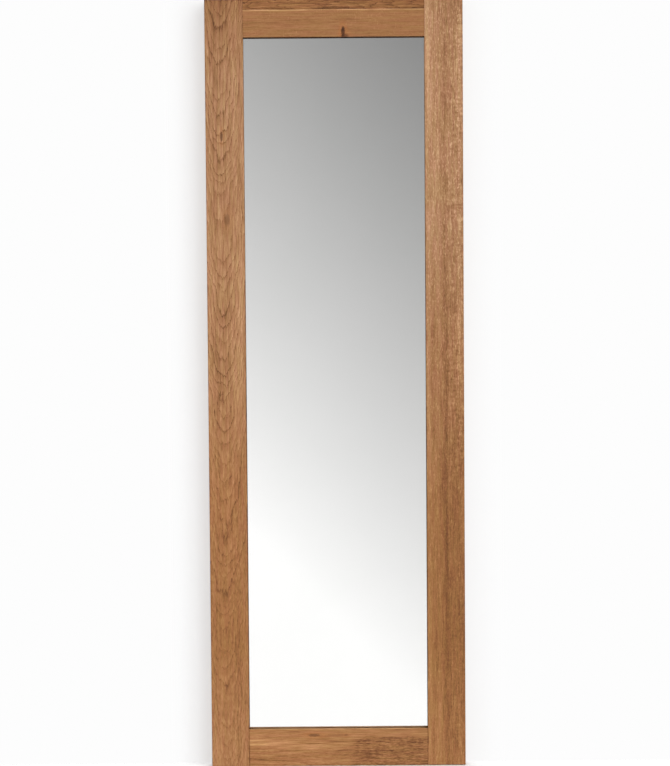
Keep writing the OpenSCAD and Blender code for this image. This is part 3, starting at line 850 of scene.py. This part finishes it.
def lay_screws(name, screw, finish, seed, grids):
    """One mesh of screws. Each grid is the first place, the step, how many, the next row and how
    many."""
    shape = bmesh.new()
    for first, step, in_a_row, next_row, rows in grids:
        carrier = new_object(name, bpy.data.meshes.new(name))
        rows_of_screws = carrier.modifiers.new("rows", "NODES")
        rows_of_screws.node_group = screw_rows
        values = {"Screw": screw, "Finish": finish, "First": first, "Step": step,
                  "Screws in a Row": in_a_row, "Next Row": next_row, "Rows": rows, "Seed": seed}
        for socket in screw_rows.interface.items_tree:
            if socket.in_out == "INPUT":
                rows_of_screws[socket.identifier] = values[socket.name]
        laid_out = carrier.evaluated_get(bpy.context.evaluated_depsgraph_get())
        shape.from_mesh(bpy.data.meshes.new_from_object(laid_out))
        bpy.data.objects.remove(carrier)
    mesh = bpy.data.meshes.new(name)
    shape.to_mesh(mesh)
    shape.free()
    mesh.materials.append(finish)
    mesh.shade_smooth()
    mesh.set_sharp_from_angle(angle=SHARP_EDGE)
    return new_object(name, mesh)


YELLOW_TINGE = paint(206, 198, 164)


def zinc(name, colour, roughness, stretch=(1.0, 1.0, 1.0)):
    """Zinc plate over steel: a cool bright grey with faint clouds, and lines where the steel was
    drawn, which stretch makes longer."""
    mat, wire, shader = new_material(name)
    place = wire.node("ShaderNodeTexCoord", out="Object")
    stretched = wire.node("ShaderNodeVectorMath", {0: place, 1: stretch}, operation="MULTIPLY")
    drawn = wire.node("ShaderNodeTexNoise", {"Vector": stretched, "Scale": 2600.0, "Detail": 2.0})
    clouds = wire.node("ShaderNodeTexNoise", {"Vector": place, "Scale": 160.0, "Detail": 3.0})
    tinge = wire.node("ShaderNodeTexNoise", {"Vector": place, "Scale": 70.0, "Detail": 1.0})
    duller = [c * 0.74 for c in colour[:3]] + [1.0]
    plated = wire.blend(clouds.ramp(0.3, 0.75), colour, duller)
    plated = wire.blend(tinge.ramp(0.52, 0.75, 0.0, 0.35), plated, YELLOW_TINGE)
    wire.feed(shader["Base Color"], plated)
    shader["Metallic"].default_value = 1.0
    wire.feed(shader["Roughness"], roughness + (clouds - 0.5) * 0.25 + (drawn - 0.5) * 0.2)
    wire.feed(shader["Normal"], wire.node(
        "ShaderNodeBump", {"Height": drawn, "Strength": 0.25, "Distance": 0.00004}))
    return mat


PAN_HEAD_R = 0.0035
PAN_HEAD_H = 0.0024
PAN_HEAD = [(0.0, PAN_HEAD_H), (0.0009, 0.00232), (0.0018, 0.00208), (0.0026, 0.00171),
            (0.0031, 0.00139), (0.0034, 0.00112), (PAN_HEAD_R, 0.00085), (PAN_HEAD_R, 0.00025),
            (0.00335, 0.0)]
ROW_INSET = 0.080
SIDE_SCREWS = 7
END_SCREWS = 3
screw_rows = screw_rows_tree()
screw_zinc = zinc("zinc of the screws", paint(206, 208, 208), 0.30)
pan_screw = wood_screw(
    "pan_screw", PAN_HEAD, shank_r=0.0015, length=0.016, pitch=0.0011, recess_r=0.0019)
board_low, board_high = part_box("back_board")
screws_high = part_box("back_board_screws")[1]
side_x = screws_high.x - PAN_HEAD_R
end_z = screws_high.z - PAN_HEAD_R
side_low = board_low.z + ROW_INSET
side_step = (board_high.z - board_low.z - 2 * ROW_INSET) / (SIDE_SCREWS - 1)
end_x = board_high.x - ROW_INSET
middle_z = (board_low.z + board_high.z) / 2
side_rows = ((-side_x, board_high.y, side_low), (0, 0, side_step), SIDE_SCREWS,
             (2 * side_x, 0, 0), 2)
end_rows = ((-end_x, board_high.y, 2 * middle_z - end_z), (end_x, 0, 0), END_SCREWS,
            (0, 0, 2 * (end_z - middle_z)), 2)
board_screws = lay_screws("board_screws", pan_screw, screw_zinc, 11, [side_rows, end_rows])
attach(board_screws, "mirror")
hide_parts("back_board_screws")


# The hanger straps
# Each is one strip of zinc-plated steel, 16 x 1 mm, folded double round the ring so that the fold
# makes its bearing.

strap_zinc = zinc("zinc of the straps", paint(200, 202, 202), 0.36, stretch=(1.0, 1.0, 0.08))
dress("left_hanger_strap", strap_zinc)
dress("right_hanger_strap", strap_zinc)


# The hanger rings
# Round steel wire, 3.5 mm thick, bent to a D and closed inside the strap's fold. They are plated
# after bending.

ring_zinc = zinc("zinc of the rings", paint(212, 214, 214), 0.24)
dress("left_hanger_ring", ring_zinc)
dress("right_hanger_ring", ring_zinc)


# The strap screws
# Three countersunk screws, 4 x 22 mm, hold each strap to its stile. Their heads finish flush with
# the steel.

COUNTERSUNK_R = 0.0040
COUNTERSUNK_H = 0.0019
COUNTERSUNK_HEAD = [(0.0, 0.0), (0.0030, 0.0), (0.00385, 0.0), (COUNTERSUNK_R, -0.00012),
                    (0.0020, -COUNTERSUNK_H)]
STRAP_SCREW_LENGTH = 0.022
STRAP_HOLES = 3
HOLE_STEP = 0.019
strap_screw = wood_screw("strap_screw", COUNTERSUNK_HEAD, shank_r=0.0020, pitch=0.0014,
                         length=STRAP_SCREW_LENGTH - COUNTERSUNK_H, recess_r=0.0022)
for side, seed in (("left", 23), ("right", 31)):
    low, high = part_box(side + "_hanger_screws")
    top_place = ((low.x + high.x) / 2, high.y, high.z - COUNTERSUNK_R)
    strap_screws = lay_screws(side + "_strap_screws", strap_screw, screw_zinc, seed,
                              [(top_place, (0, 0, -HOLE_STEP), STRAP_HOLES, (0, 0, 0), 1)])
    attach(strap_screws, "mirror")
    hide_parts(side + "_hanger_screws")
bpy.data.objects.remove(strap_screw)


# The wall bumpers and their screws
# Two moulded rubber cones near the foot keep the frame off the wall. A pan head screw holds each
# one from inside its recess.

bumper_rubber = rubber("grey bumper rubber", paint(48, 48, 50), grain=0.0004, roughness=0.66)
dress("left_wall_bumper", bumper_rubber)
dress("right_wall_bumper", bumper_rubber)
low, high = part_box("bumper_screws")
bumper_x = high.x - PAN_HEAD_R
left_place = (-bumper_x, high.y - PAN_HEAD_H, (low.z + high.z) / 2)
bumper_screws = lay_screws("bumper_pan_screws", pan_screw, screw_zinc, 47,
                           [(left_place, (2 * bumper_x, 0, 0), 2, (0, 0, 0), 1)])
bpy.data.objects.remove(pan_screw)
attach(bumper_screws, "mirror")
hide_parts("bumper_screws")
